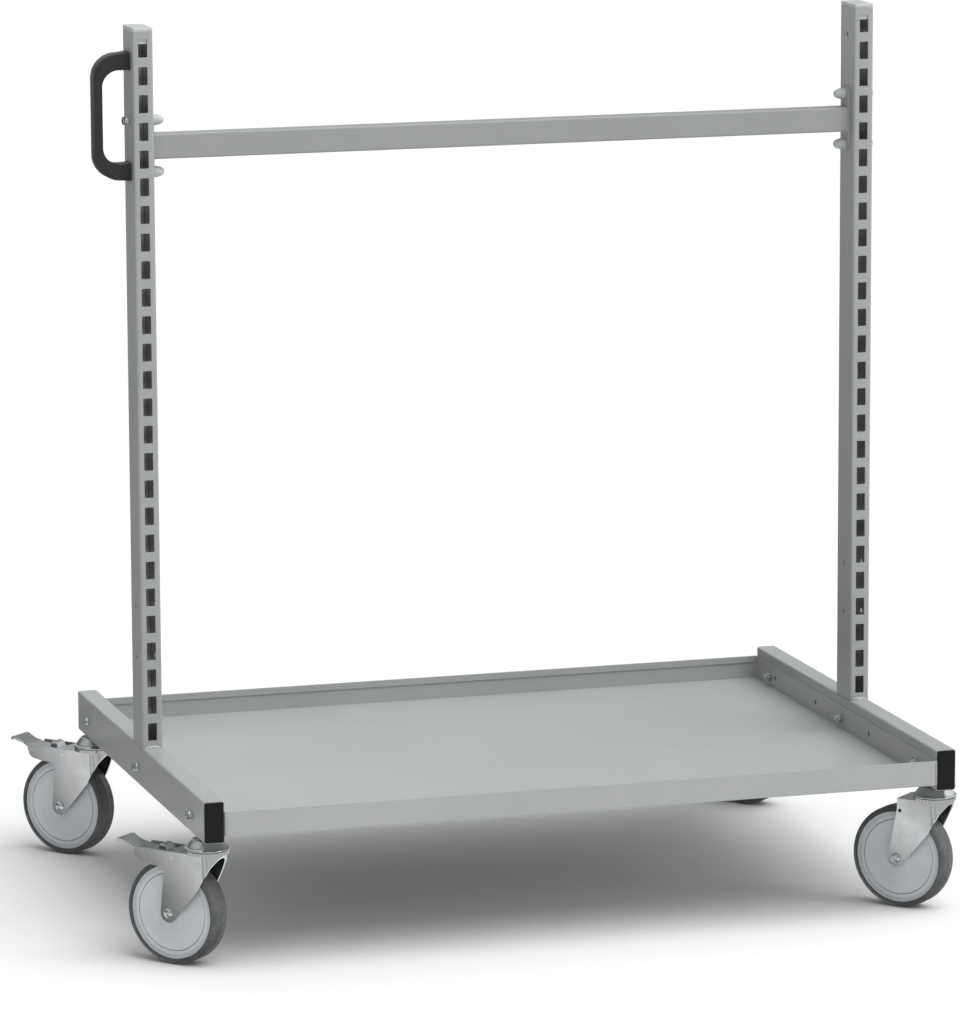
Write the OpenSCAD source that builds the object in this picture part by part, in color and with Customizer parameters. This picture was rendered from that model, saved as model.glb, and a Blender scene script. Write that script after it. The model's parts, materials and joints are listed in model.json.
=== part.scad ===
// Tray trolley: two slotted uprights on side rails, a bolted crossbar, a
// folded sheet tray between the rails and four swivel casters, two braked.
// X runs across the trolley with the handle on the -X side, -Y is the side
// that the upright slots face, and Z is up from the floor the wheels stand on.

/* [Frame] */
// Width over the outer faces of the two side rails
frame_w = 930; // [700:10:1200]
// Length of a side rail, without its end plugs
rail_l = 650; // [550:10:900]
// Height of the rails' top faces above the floor
rail_top = 205; // [203:1:215]
// Narrow side of the rail and upright tube
tube_w = 25; // [24:1:30]
// Wide side of the rail and upright tube
tube_d = 50; // [48:1:60]
// Wall thickness of the rail and upright tube
tube_t = 2; // [1.5:0.1:2.5]
// Outside corner radius of the rail and upright tube
tube_r = 3; // [2.6:0.1:4]

/* [Uprights] */
// Length of an upright tube above its rail
upright_h = 864.5; // [850:0.5:1100]
// Number of slots down the front of each upright
slot_count = 26; // [12:1:26]
// Distance from one slot to the next
slot_pitch = 33; // [30:0.5:33]
// Width of a slot
slot_w = 11; // [8:0.5:14]
// Height of a slot
slot_h = 21.5; // [15:0.5:24]
// Distance from the tube's top end to the first slot's top edge
slot_top_gap = 9; // [8:0.5:12]
// Thickness of an upright's top cap above the tube
cap_t = 4.5; // [3:0.5:8]
// Depth of the cap's skirt inside the tube
cap_skirt = 15; // [8:0.5:16]

/* [Crossbar] */
// Height of the crossbar's centre line above the rails' top faces
crossbar_up = 726; // [500:1:726]
// Height of the crossbar tube
crossbar_h = 30; // [25:1:40]
// Depth of the crossbar tube, front to back
crossbar_d = 25; // [20:1:30]
// Wall thickness of the crossbar tube
crossbar_t = 1.5; // [1.2:0.1:2]
// Spacing of the two bolts at each end of the crossbar
bolt_spacing = 62; // [56:1:70]
// Height of an end plate
plate_h = 80; // [76:1:88]
// Thickness of an end plate
plate_t = 3; // [2:0.5:4]
// Height above the rails of the unused lower pair of bolt holes
spare_pair_up = 139.5; // [80:0.5:300]

/* [Handle] */
// Distance between the handle's two screws
handle_cc = 135; // [120:1:135]
// Distance the handle stands out from the upright
handle_out = 43.4; // [38:0.2:50]
// Thickness of the grip bar, seen from the front
grip_t = 9.5; // [8:0.5:14]
// Height of a handle foot
foot_h = 19.5; // [18:0.5:24]
// Depth of the handle, front to back
handle_d = 25; // [20:1:30]

/* [Tray] */
// Length of the tray, front to back
tray_l = 658; // [654:1:700]
// Height of the tray walls
tray_h = 30; // [26:1:38]
// Distance from the rails' top faces down to the tray walls' top edge
tray_drop = 12.5; // [10:0.5:14]
// Thickness of the tray sheet
sheet_t = 1.5; // [1:0.1:2]
// Depth of the folded hem on the front and rear walls
hem_h = 8; // [6:0.5:9]
// Distance of the outer tray bolts from the middle of the rail
bolt_y = 267; // [240:1:267]
// Distances of the unused side holes from the middle of the rail
spare_y = [97, 250]; // [50:1:250]

/* [Casters] */
// Radius of the wheel over its tyre
wheel_r = 62.5; // [60:0.5:63]
// Width of the tyre
tyre_w = 32.4; // [30:0.2:32.8]
// Radius where the tyre meets the rim
rim_r = 56; // [54:0.5:57]
// Radius of the thread guard disc
guard_r = 46; // [40:0.5:48]
// Distance from the swivel axis back to the wheel axle
trail = 42; // [38:1:44]
// Width over the fork's legs
fork_w = 39; // [39:0.2:42]
// Thickness of the fork sheet
fork_t = 2.5; // [2:0.1:2.5]
// Distance from a rail's end to the swivel axis
swivel_in = 36; // [32:1:60]
// Direction that the casters trail in, turned from +X
trail_angle = 132; // [0:1:360]
// Travel of the brake pedal, in degrees
pedal_travel = 8; // [4:1:8]

/* [Hidden] */
CORNERS = ["fl", "rl", "fr", "rr"];
BRAKED = ["fl", "rl"];
$fn = 48;

// Frame faces
rail_bottom = rail_top - tube_d;
outer_x = frame_w / 2;
inner_x = outer_x - tube_w;
tube_mid_x = outer_x - tube_w / 2;
upright_top = rail_top + upright_h;
crossbar_z = rail_top + crossbar_up;
crossbar_x = inner_x - plate_t;

// Bolt holes in the uprights, all along X
m6_r = 3;
m6_hole_r = 3.25;
handle_low_z = crossbar_z - bolt_spacing / 2;
handle_high_z = handle_low_z + handle_cc;
spare_z = rail_top + spare_pair_up;
upright_hole_z = [
    handle_high_z,
    crossbar_z + bolt_spacing / 2,
    crossbar_z - bolt_spacing / 2,
    spare_z + bolt_spacing / 2,
    spare_z - bolt_spacing / 2
];

// M6 fastener sizes
head_r = 5;
head_h = 6;
socket_r = 2.9;
socket_depth = 3;
nut_corner_r = 10 / sqrt(3);
nut_h = 5;
spring_t = 1.6;
washer_t = 1.2;
dome_r = 7;
dome_l = 14.5;
dome_cavity_r = 5.9;

// Handle
insert_r = 4.15;
insert_l = 13;
grip_corner_r = 30;
gap_corner_r = 20;
flare_l = 6;
flare_h = 1.5;
handle_h = handle_cc + foot_h - 4;
handle_mid_z = (handle_low_z + handle_high_z) / 2;
gap_h = handle_h - 2 * foot_h;
screw_head_h = 3.5;

// Tray
tray_bottom = rail_top - tray_drop - tray_h;
tray_top = tray_bottom + tray_h;
tray_bolt_z = rail_top - 27.5;
corner_gap = 0.6;

// Caster heights, all above the floor
swivel_x = tube_mid_x;
swivel_y = rail_l / 2 - swivel_in;
deck_top = 137;
deck_t = 2.5;
crown_top = 140.5;
crown_r = 26;
race_gap = 0.4;
race_r = 26.5;
race_bottom = crown_top + race_gap;
stem_r = 5;
stem_fit = 0.05;
stem_top = rail_bottom + 14;
ball_r = 2.2;
ball_count = 14;
ball_ring_r = 19.7;
stem_nut_corner_r = 17 / sqrt(3);
stem_nut_h = 8;

// Fork, seen from above as a U and from the side as a leg with a round boss
fork_front = -24;
boss_r = 11.3;
fork_low = 40;
u_center = fork_front + fork_w / 2;
deck_end = 42;
arm_end = 90;
arm_fillet = 8;
arm_fillet_at = [47.6 + arm_fillet, 117.4 - arm_fillet];

// Wheel, across the axle
axle_r = 4;
axle_fit = 0.05;
rim_half = 12.6;
guard_t = 3;
web_half = 3;
hub_r = 16;
hub_half = 8.2;
bearing_r = 11;
bearing_t = 7;
leg_inside = fork_w / 2 - fork_t;
tyre_edge_r = 8;

// Brake pedal, in the caster's own frame
pivot_u = 37;
pivot_z = 129;
pin_r = 2;
pin_fit = 0.06;
pedal_half = 16.5;
pedal_t = 2;
pedal_top = 134.8;
lug_r = 4.2;
lug_t = 2.5;
tip_u = 118;
tip_z = 143.5;
shoe_u = [57, 77];
shoe_half = 9;
shoe_gap = 0.4;

function side_of(c) = c == "fl" || c == "rl" ? -1 : 1;
function end_of(c) = c == "fl" || c == "fr" ? -1 : 1;
function is_braked(c) = side_of(c) < 0;

// Rectangle centred on the origin with round corners, from true arcs
module round_rect(w, h, r) {
    square([w - 2 * r, h], center = true);
    square([w, h - 2 * r], center = true);
    for (x = [-1, 1], y = [-1, 1])
        translate([x * (w / 2 - r), y * (h / 2 - r)]) circle(r);
}

// Wall of a rectangular tube, seen along it
module tube_section(w, h, r, t) {
    difference() {
        round_rect(w, h, r);
        round_rect(w - 2 * t, h - 2 * t, max(r - t, 0.6));
    }
}

// Turns a shape drawn in X and Y so that it stands in X and Z, extruded along Y
module along_y(l) {
    translate([0, l / 2, 0]) rotate([90, 0, 0]) linear_extrude(l) children();
}

// Turns a shape drawn as Y and Z so that it is extruded along X
module along_x(l) {
    translate([-l / 2, 0, 0]) rotate([90, 0, 90]) linear_extrude(l) children();
}

// Cylinder along X from x = a to x = b
module x_rod(r, a, b, fn = 48) {
    translate([a, 0, 0]) rotate([0, 90, 0]) cylinder(r = r, h = b - a, $fn = fn);
}

// Both sides of the trolley, the right one mirrored from the left
module both_sides() {
    for (s = [0, 1]) mirror([s, 0, 0]) children();
}

// Places a caster part, whose own +X is the trailing direction
module at_corner(c) {
    translate([side_of(c) * swivel_x, end_of(c) * swivel_y, 0]) rotate(trail_angle) children();
}

// Places fixed caster parts at all four corners
module at_corners() {
    for (c = CORNERS) at_corner(c) children();
}

// Turns a part drawn about Z so that it lies about the wheel axle
module about_axle() {
    translate([trail, 0, wheel_r]) rotate([-90, 0, 0]) children();
}

// ---- Frame ----

module rail() {
    color("silver") difference() {
        translate([-tube_mid_x, 0, rail_bottom + tube_d / 2])
            along_y(rail_l) tube_section(tube_w, tube_d, tube_r, tube_t);
        for (y = [-bolt_y, 0, bolt_y])
            translate([0, y, tray_bolt_z]) x_rod(m6_hole_r, -outer_x - 1, -inner_x + 1);
        for (y = spare_y, s = [-1, 1])
            translate([0, s * y, tray_bolt_z])
                x_rod(m6_hole_r, -inner_x - tube_t - 1, -inner_x + 1);
        for (s = [-1, 1])
            translate([-swivel_x, s * swivel_y, rail_bottom - 1])
                cylinder(r = stem_r + 0.1, h = tube_t + 2);
    }
}

module left_rail() {
    rail();
}

module right_rail() {
    mirror([1, 0, 0]) rail();
}

module upright() {
    color("silver") difference() {
        translate([-tube_mid_x, 0, rail_top])
            linear_extrude(upright_h) tube_section(tube_w, tube_d, tube_r, tube_t);
        for (i = [0 : slot_count - 1])
            translate([
                -tube_mid_x,
                -tube_d / 2,
                upright_top - slot_top_gap - slot_h / 2 - i * slot_pitch
            ])
                along_y(3 * tube_t) round_rect(slot_w, slot_h, 1);
        for (z = upright_hole_z)
            translate([0, 0, z]) x_rod(m6_hole_r, -outer_x - 1, -inner_x + 1);
    }
}

module left_upright() {
    upright();
}

module right_upright() {
    mirror([1, 0, 0]) upright();
}

// Fillet welds along the front and rear foot of each upright
module weld_beads() {
    bead_r = 3.2;
    bead_l = tube_w - 2 * tube_r;
    color("gainsboro") both_sides()
        for (s = [-1, 1])
            intersection() {
                translate([0, s * tube_d / 2, rail_top])
                    x_rod(bead_r, -tube_mid_x - bead_l / 2, -tube_mid_x + bead_l / 2);
                translate([-tube_mid_x, s * (tube_d + bead_r * 2) / 2, rail_top + bead_r])
                    cube([tube_w, 2 * bead_r, 2 * bead_r], center = true);
            }
}

module upright_caps() {
    edge_r = 2.2;
    color("lightgray") both_sides() translate([-tube_mid_x, 0, upright_top]) {
        intersection() {
            linear_extrude(cap_t) round_rect(tube_w, tube_d, tube_r);
            along_y(tube_d) round_rect(tube_w, 2 * cap_t, edge_r);
            along_x(tube_w) round_rect(tube_d, 2 * cap_t, edge_r);
        }
        translate([0, 0, -cap_skirt])
            linear_extrude(cap_skirt)
                tube_section(tube_w - 2 * tube_t - 0.3, tube_d - 2 * tube_t - 0.3, 1.2, 1.5);
    }
}

module rail_end_plugs() {
    head_t = 1.4;
    head_inset = 2.2;
    body_l = 16;
    color("black") both_sides()
        for (s = [0, 1])
            mirror([0, s, 0])
                translate([-tube_mid_x, -rail_l / 2, rail_bottom + tube_d / 2]) {
                    translate([0, -head_t / 2, 0])
                        along_y(head_t)
                            round_rect(tube_w - head_inset, tube_d - head_inset, tube_r - 1);
                    translate([0, body_l / 2, 0])
                        along_y(body_l)
                            tube_section(tube_w - 2 * tube_t - 0.3, tube_d - 2 * tube_t - 0.3, 1.2, 1.8);
                }
}

// ---- Crossbar ----

module crossbar() {
    color("silver") translate([0, 0, crossbar_z])
        along_x(2 * crossbar_x) tube_section(crossbar_d, crossbar_h, 2.5, crossbar_t);
}

module crossbar_end_plates() {
    end_r = crossbar_d / 2;
    color("silver") both_sides()
        translate([-inner_x + plate_t / 2, 0, crossbar_z])
            difference() {
                along_x(plate_t) {
                    square([crossbar_d, plate_h - 2 * end_r], center = true);
                    for (s = [-1, 1])
                        translate([0, s * (plate_h / 2 - end_r)]) circle(end_r);
                }
                for (s = [-1, 1])
                    translate([0, 0, s * bolt_spacing / 2]) x_rod(m6_hole_r, -plate_t, plate_t);
            }
}

// Socket head screw along X, its head's underside at x = 0 and its point at +X
module socket_screw(l) {
    difference() {
        union() {
            x_rod(head_r, -head_h, 0);
            x_rod(m6_r, -0.1, l);
        }
        x_rod(socket_r, -head_h - 1, -head_h + socket_depth, 6);
    }
}

// Hexagon nut along X, from x = 0 to its height
module hex_nut(corner_r, h, hole_r) {
    difference() {
        x_rod(corner_r, 0, h, 6);
        x_rod(hole_r, -1, h + 1);
    }
}

// The three places where a plain bolt holds the crossbar, as [side, height]
crossbar_bolt_at = [
    [0, crossbar_z + bolt_spacing / 2],
    [1, crossbar_z + bolt_spacing / 2],
    [1, crossbar_z - bolt_spacing / 2]
];

module at_crossbar_bolts() {
    for (p = crossbar_bolt_at) mirror([p[0], 0, 0]) translate([0, 0, p[1]]) children();
}

module crossbar_bolts() {
    color("lightsteelblue") at_crossbar_bolts()
        translate([-outer_x - spring_t, 0, 0])
            socket_screw(spring_t + tube_w + plate_t + nut_h + 2);
}

module crossbar_nuts() {
    color("lightsteelblue") at_crossbar_bolts()
        translate([-crossbar_x, 0, 0]) hex_nut(nut_corner_r, nut_h, m6_r + 0.05);
}

// Plastic dome over each nut or screw head on the crossbar's end plates
module dome_cap() {
    base_l = 2;
    difference() {
        rotate([0, 90, 0]) rotate_extrude() polygon([
            [0, 0],
            [dome_r, 0],
            for (a = [0 : 10 : 90])
                [dome_r * cos(a), base_l + (dome_l - base_l) * sin(a)]
        ]);
        x_rod(dome_cavity_r, -1, nut_h + 0.3);
        x_rod(m6_r + 0.4, -1, nut_h + 3);
    }
}

module dome_caps() {
    color("lightgray") both_sides()
        for (s = [-1, 1])
            translate([-crossbar_x, 0, crossbar_z + s * bolt_spacing / 2]) dome_cap();
}

// ---- Handle ----

// Outline of the bow handle: X is the distance from the upright, Y is height
module handle_outline() {
    r = grip_corner_r;
    g = gap_corner_r;
    difference() {
        union() {
            translate([0, -handle_h / 2]) square([handle_out - r, handle_h]);
            translate([0, -handle_h / 2 + r]) square([handle_out, handle_h - 2 * r]);
            for (s = [-1, 1])
                translate([handle_out - r, s * (handle_h / 2 - r)]) circle(r, $fn = 96);
            for (s = [0, 1]) mirror([0, s])
                polygon([
                    [0, handle_h / 2 - 1],
                    [0, handle_h / 2 + flare_h],
                    [flare_l / 3, handle_h / 2 + flare_h],
                    [flare_l * 2, handle_h / 2 - 1]
                ]);
        }
        translate([-r, -handle_h / 2 - r]) square([r, handle_h + 2 * r]);
        translate([-1, -gap_h / 2]) square([handle_out - grip_t - g + 1, gap_h]);
        translate([-1, -gap_h / 2 + g]) square([handle_out - grip_t + 1, gap_h - 2 * g]);
        for (s = [-1, 1])
            translate([handle_out - grip_t - g, s * (gap_h / 2 - g)]) circle(g, $fn = 96);
    }
}

module handle() {
    color("dimgray") difference() {
        translate([-outer_x, 0, handle_mid_z]) mirror([1, 0, 0])
            along_y(handle_d) handle_outline();
        for (z = [handle_low_z, handle_high_z])
            translate([0, 0, z]) x_rod(insert_r + 0.05, -outer_x - insert_l - 1, -outer_x + 1);
    }
}

module handle_inserts() {
    color("goldenrod")
        for (z = [handle_low_z, handle_high_z])
            translate([0, 0, z]) difference() {
                x_rod(insert_r, -outer_x - insert_l, -outer_x);
                x_rod(m6_r + 0.05, -outer_x - insert_l - 1, -outer_x + 1);
            }
}

// The upper screw bears on the upright, the lower one on the end plate
module handle_screws() {
    color("lightsteelblue")
        for (p = [[handle_low_z, crossbar_x], [handle_high_z, inner_x]])
            translate([0, 0, p[0]]) difference() {
                union() {
                    x_rod(m6_r, -outer_x - insert_l + 1, -p[1] + 0.1);
                    x_rod(head_r, -p[1], -p[1] + screw_head_h);
                }
                x_rod(socket_r, -p[1] + screw_head_h - 2, -p[1] + screw_head_h + 1, 6);
            }
}

// ---- Tray ----

// Sheet between the walls, which are folded up from its four edges
module tray_floor() {
    color("silver") translate([0, 0, tray_bottom + sheet_t / 2])
        cube([2 * (inner_x - sheet_t), tray_l - 2 * sheet_t, sheet_t], center = true);
}

// Front and rear walls, each with a hem folded flat against its inside
module tray_end_walls() {
    wall_l = 2 * (inner_x - sheet_t - corner_gap);
    hem_l = wall_l - 6;
    color("silver")
        for (s = [0, 1]) mirror([0, s, 0]) {
            translate([-wall_l / 2, tray_l / 2 - sheet_t, tray_bottom])
                cube([wall_l, sheet_t, tray_h]);
            translate([-hem_l / 2, tray_l / 2 - 2 * sheet_t, tray_top - hem_h])
                cube([hem_l, sheet_t + 0.1, hem_h]);
        }
}

module tray_side_walls() {
    color("silver") both_sides() difference() {
        translate([-inner_x, -tray_l / 2, tray_bottom]) cube([sheet_t, tray_l, tray_h]);
        for (y = [-bolt_y, -spare_y[1], -spare_y[0], 0, spare_y[0], spare_y[1], bolt_y])
            translate([0, y, tray_bolt_z])
                x_rod(m6_hole_r, -inner_x - 1, -inner_x + sheet_t + 1);
    }
}

module at_tray_bolts() {
    both_sides()
        for (y = [-bolt_y, 0, bolt_y]) translate([0, y, tray_bolt_z]) children();
}

module tray_bolts() {
    color("lightsteelblue") at_tray_bolts()
        translate([-outer_x - spring_t, 0, 0])
            socket_screw(spring_t + tube_w + sheet_t + washer_t + nut_h + 3);
}

// Split spring washer under a socket head, from x = 0 to its thickness
module spring_washer() {
    difference() {
        x_rod(head_r + 0.2, 0, spring_t);
        x_rod(m6_r + 0.1, -1, spring_t + 1);
        translate([-1, -0.4, 0]) cube([spring_t + 2, 0.8, head_r + 1]);
    }
}

module spring_washers() {
    color("lightsteelblue") {
        at_tray_bolts() translate([-outer_x - spring_t, 0, 0]) spring_washer();
        at_crossbar_bolts() translate([-outer_x - spring_t, 0, 0]) spring_washer();
    }
}

module tray_washers() {
    color("lightsteelblue") at_tray_bolts()
        translate([-inner_x + sheet_t, 0, 0]) difference() {
            x_rod(6, 0, washer_t);
            x_rod(m6_r + 0.2, -1, washer_t + 1);
        }
}

module tray_nuts() {
    color("lightsteelblue") at_tray_bolts()
        translate([-inner_x + sheet_t + washer_t, 0, 0])
            hex_nut(nut_corner_r, nut_h, m6_r + 0.05);
}

// ---- Caster parts fixed to the rails ----

// Upper race: a coned cap over the ball ring, clamped against the rail
module swivel_races() {
    neck_r = 12;
    color("gainsboro") at_corners()
        rotate_extrude()
            difference() {
                polygon([
                    [stem_r + 0.1, race_bottom],
                    [race_r - 0.8, race_bottom],
                    [race_r, race_bottom + 0.8],
                    [race_r, race_bottom + 2],
                    [race_r - 0.8, race_bottom + 2.8],
                    [race_r - 2.5, race_bottom + 3.6],
                    [20.4, rail_bottom - 5.6],
                    [17.6, rail_bottom - 3.4],
                    [neck_r, rail_bottom - 1.6],
                    [neck_r, rail_bottom],
                    [stem_r + 0.1, rail_bottom]
                ]);
                translate([ball_ring_r - ball_r - 0.5, race_bottom - 1])
                    square([2 * ball_r + 1, 2 * ball_r + 1.3]);
            }
}

module swivel_balls() {
    color("lightsteelblue") at_corners()
        for (i = [0 : ball_count - 1])
            rotate(i * 360 / ball_count)
                translate([ball_ring_r, 0, race_bottom + ball_r]) sphere(ball_r, $fn = 24);
}

// King pin: its flange holds the fork up against the balls
module caster_stems() {
    flange_t = 3;
    color("lightsteelblue") at_corners() {
        translate([0, 0, deck_top - deck_t - race_gap - flange_t])
            cylinder(r = 10, h = flange_t);
        translate([0, 0, deck_top - deck_t - race_gap - 0.1])
            cylinder(r = stem_r, h = stem_top - deck_top + deck_t + race_gap);
    }
}

module stem_nuts() {
    color("lightsteelblue") at_corners()
        translate([0, 0, rail_bottom + tube_t]) difference() {
            cylinder(r = stem_nut_corner_r, h = stem_nut_h, $fn = 6);
            translate([0, 0, -1]) cylinder(r = stem_r + 0.05, h = stem_nut_h + 2);
        }
}

// ---- Caster parts that swivel ----

// Plan of the fork: round at the front, straight legs to the rear
module fork_plan(half, rear) {
    translate([u_center, 0]) circle(half, $fn = 96);
    translate([u_center, -half]) square([rear - u_center, 2 * half]);
}

// Side view of a leg, X to the rear and Y up, down to the axle boss
module leg_profile(braked) {
    // The leg's edges run just inside the tangents of the boss
    edge_r = boss_r - 0.2;
    rear_top = braked ? [47, deck_top] : [41, deck_top];
    polygon([
        [fork_front, deck_top + 1],
        [fork_front, deck_top - 1],
        [-14, 121],
        [-1, 96],
        [21, 70.5],
        [trail - edge_r * sin(48), wheel_r - edge_r * cos(48)],
        [trail + edge_r * cos(6), wheel_r + edge_r * sin(6)],
        rear_top - [0, 14],
        rear_top,
        [rear_top[0] - 2, deck_top + 1]
    ]);
    translate([trail, wheel_r]) circle(boss_r);
    if (braked) {
        // Arm that reaches back beside the pedal, with a round inside corner
        polygon([
            [40, deck_top + 1],
            [40, arm_fillet_at[1]],
            for (a = [180 : -15 : 90])
                arm_fillet_at + arm_fillet * [cos(a), sin(a)],
            [69, 118.4],
            [82, 120.5],
            [87, 124],
            [arm_end, 132],
            [arm_end, deck_top + 1]
        ]);
    }
}

module fork(braked) {
    rear = braked ? arm_end : 60;
    color("gainsboro") difference() {
        union() {
            intersection() {
                translate([0, 0, fork_low]) linear_extrude(deck_top - fork_low)
                    fork_plan(fork_w / 2, rear + 5);
                translate([0, fork_w / 2 + 1, 0]) rotate([90, 0, 0])
                    linear_extrude(fork_w + 2) leg_profile(braked);
            }
            translate([0, 0, deck_top - 0.5]) cylinder(r = crown_r, h = crown_top - deck_top + 0.5);
        }
        translate([0, 0, fork_low - 1]) linear_extrude(deck_top - deck_t - fork_low + 1)
            fork_plan(leg_inside, rear + 10);
        if (braked)
            translate([deck_end, -leg_inside, fork_low])
                cube([rear, 2 * leg_inside, deck_top]);
        translate([0, 0, fork_low]) cylinder(r = stem_r + stem_fit, h = deck_top);
        translate([trail, fork_w / 2 + 1, wheel_r]) rotate([90, 0, 0])
            cylinder(r = axle_r + 0.05, h = fork_w + 2);
        if (braked)
            translate([pivot_u, fork_w / 2 + 1, pivot_z]) rotate([90, 0, 0])
                cylinder(r = pin_r + 0.02, h = fork_w + 2);
        else
            translate([pivot_u, fork_w / 2 + 1, 121.7]) rotate([90, 0, 0])
                cylinder(r = 2.25, h = fork_w + 2);
    }
}

// Axle bolt: a plain domed head on braked casters, a socket head on the others
module axle(domed) {
    head = 3.4;
    color("lightsteelblue") about_axle() {
        translate([0, 0, -fork_w / 2 - 8.5]) cylinder(r = axle_r, h = fork_w + 8.6);
        translate([0, 0, fork_w / 2]) difference() {
            intersection() {
                cylinder(r = 6, h = head);
                translate([0, 0, head - 9]) sphere(9, $fn = 64);
            }
            if (!domed) translate([0, 0, head - 2]) cylinder(r = socket_r, h = 3, $fn = 6);
        }
    }
}

module axle_nut() {
    color("lightsteelblue") about_axle()
        translate([0, 0, -fork_w / 2 - 6.8]) difference() {
            cylinder(r = 13 / sqrt(3), h = 6.8, $fn = 6);
            translate([0, 0, -1]) cylinder(r = axle_r + 0.05, h = 9);
        }
}

// Disc on each side of the wheel that keeps thread out of the bearing
module thread_guards() {
    color("lightgray") about_axle()
        for (s = [0, 1]) mirror([0, 0, s])
            rotate_extrude() polygon([
                [axle_r + 0.05, hub_half + 0.6],
                [6, hub_half + 0.6],
                [6, rim_half - guard_t],
                [guard_r, rim_half - guard_t],
                [guard_r, rim_half - 0.5],
                [guard_r - 0.5, rim_half],
                [15, rim_half],
                [13, leg_inside],
                [axle_r + 0.05, leg_inside]
            ]);
}

// ---- Wheels ----

module rim() {
    lip_r = guard_r + 0.6;
    color("lightgray") about_axle() difference() {
        rotate_extrude() {
            translate([lip_r, -rim_half]) square([rim_r - lip_r, 2 * rim_half]);
            translate([hub_r - 1, -web_half]) square([lip_r - hub_r + 2, 2 * web_half]);
            translate([0, -hub_half]) square([hub_r, 2 * hub_half]);
        }
        for (s = [0, 1]) mirror([0, 0, s])
            translate([0, 0, hub_half - bearing_t]) cylinder(r = bearing_r + 0.05, h = 2 * bearing_t);
        translate([0, 0, -hub_half]) cylinder(r = 8, h = 2 * hub_half);
    }
}

// Tread with round shoulders, moulded around the rim
module tyre() {
    shoulder = tyre_w / 2 - tyre_edge_r;
    color("gray") about_axle() rotate_extrude($fn = 96) intersection() {
        union() {
            translate([rim_r - 4, -shoulder])
                square([wheel_r - rim_r + 4, 2 * shoulder]);
            for (s = [-1, 1])
                translate([wheel_r - tyre_edge_r, s * shoulder]) circle(tyre_edge_r);
        }
        translate([rim_r, -tyre_w]) square([2 * tyre_edge_r, 2 * tyre_w]);
    }
}

module bearings() {
    color("lightsteelblue") about_axle()
        for (s = [0, 1]) mirror([0, 0, s])
            translate([0, 0, hub_half - bearing_t]) difference() {
                cylinder(r = bearing_r, h = bearing_t);
                translate([0, 0, -1]) cylinder(r = axle_r + axle_fit, h = bearing_t + 2);
            }
}

// ---- Brake ----

// Extrudes a side view, X to the rear and Y up, between two places across the caster
module across(a, b) {
    translate([0, b, 0]) rotate([90, 0, 0]) linear_extrude(b - a) children();
}

module pedal_side_view() {
    polygon([
        [deck_end + 1, pedal_top - pedal_t],
        [92, pedal_top - pedal_t],
        [tip_u - 3, tip_z - pedal_t - 0.8],
        [tip_u - 0.5, tip_z - 4.5],
        [tip_u + 1.5, tip_z - 4],
        [tip_u, tip_z - 0.6],
        [tip_u - 4, tip_z],
        [91, pedal_top],
        [deck_end + 1, pedal_top]
    ]);
}

// Pedal from above: full width between the fork arms, a waist, a wide toe plate
module pedal_plan() {
    w = pedal_half;
    polygon([
        [deck_end + 1, -w], [92, -w], [100, -w + 3.5], [108, -w + 2], [tip_u - 4, -w],
        [tip_u + 2, -w + 3], [tip_u + 2, w - 3],
        [tip_u - 4, w], [108, w - 2], [100, w - 3.5], [92, w], [deck_end + 1, w]
    ]);
}

module pedal() {
    rib_bottom = 128.4;
    color("gainsboro") difference() {
        union() {
            intersection() {
                across(-pedal_half, pedal_half) pedal_side_view();
                translate([0, 0, 120]) linear_extrude(40) pedal_plan();
            }
            // Side ribs, with a lug at the front of each for the pin
            for (s = [-1, 1]) translate([0, s * (pedal_half - lug_t / 2), 0])
                across(-lug_t / 2, lug_t / 2) {
                    translate([pivot_u, pivot_z]) circle(lug_r);
                    polygon([
                        [pivot_u, pivot_z - lug_r],
                        [56, 126],
                        [86, rib_bottom],
                        [91, pedal_top - 1],
                        [deck_end + 1, pedal_top - 1],
                        [deck_end, pivot_z + lug_r],
                        [pivot_u, pivot_z + lug_r]
                    ]);
                }
            // Raised bridge and a rivet head on the deck
            across(-8.5, 8.5) polygon([
                [50.5, pedal_top - 1], [53.5, 141], [60, 142], [63, pedal_top - 1]
            ]);
            translate([47, 0, pedal_top - 1]) cylinder(r = 2.2, h = 2);
        }
        for (s = [0, 1]) mirror([0, s, 0])
            translate([0, 2, 0]) across(0, 5) polygon([
                [52, pedal_top + 0.4], [54.6, 139.6], [59, 140.4], [61.4, pedal_top + 0.4]
            ]);
        translate([pivot_u, pedal_half + 1, pivot_z]) rotate([90, 0, 0])
            cylinder(r = pin_r + pin_fit, h = 2 * pedal_half + 2);
    }
}

// Pivot pin, riveted flush with the outside of the fork
module pedal_pin() {
    color("lightsteelblue")
        translate([pivot_u, fork_w / 2, pivot_z]) rotate([90, 0, 0])
            cylinder(r = pin_r, h = fork_w);
}

// Block under the pedal, hollowed so that it meets the tyre when pressed
module brake_shoe() {
    dx = trail - pivot_u;
    dz = wheel_r - pivot_z;
    pressed_u = pivot_u + dx * cos(pedal_travel) - dz * sin(pedal_travel);
    pressed_z = pivot_z + dx * sin(pedal_travel) + dz * cos(pedal_travel);
    color("gray") difference() {
        translate([shoe_u[0], -shoe_half, 118])
            cube([shoe_u[1] - shoe_u[0], 2 * shoe_half, pedal_top - pedal_t - 118]);
        translate([pressed_u, shoe_half + 1, pressed_z]) rotate([90, 0, 0])
            cylinder(r = wheel_r + shoe_gap, h = 2 * shoe_half + 2, $fn = 128);
    }
}

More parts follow.
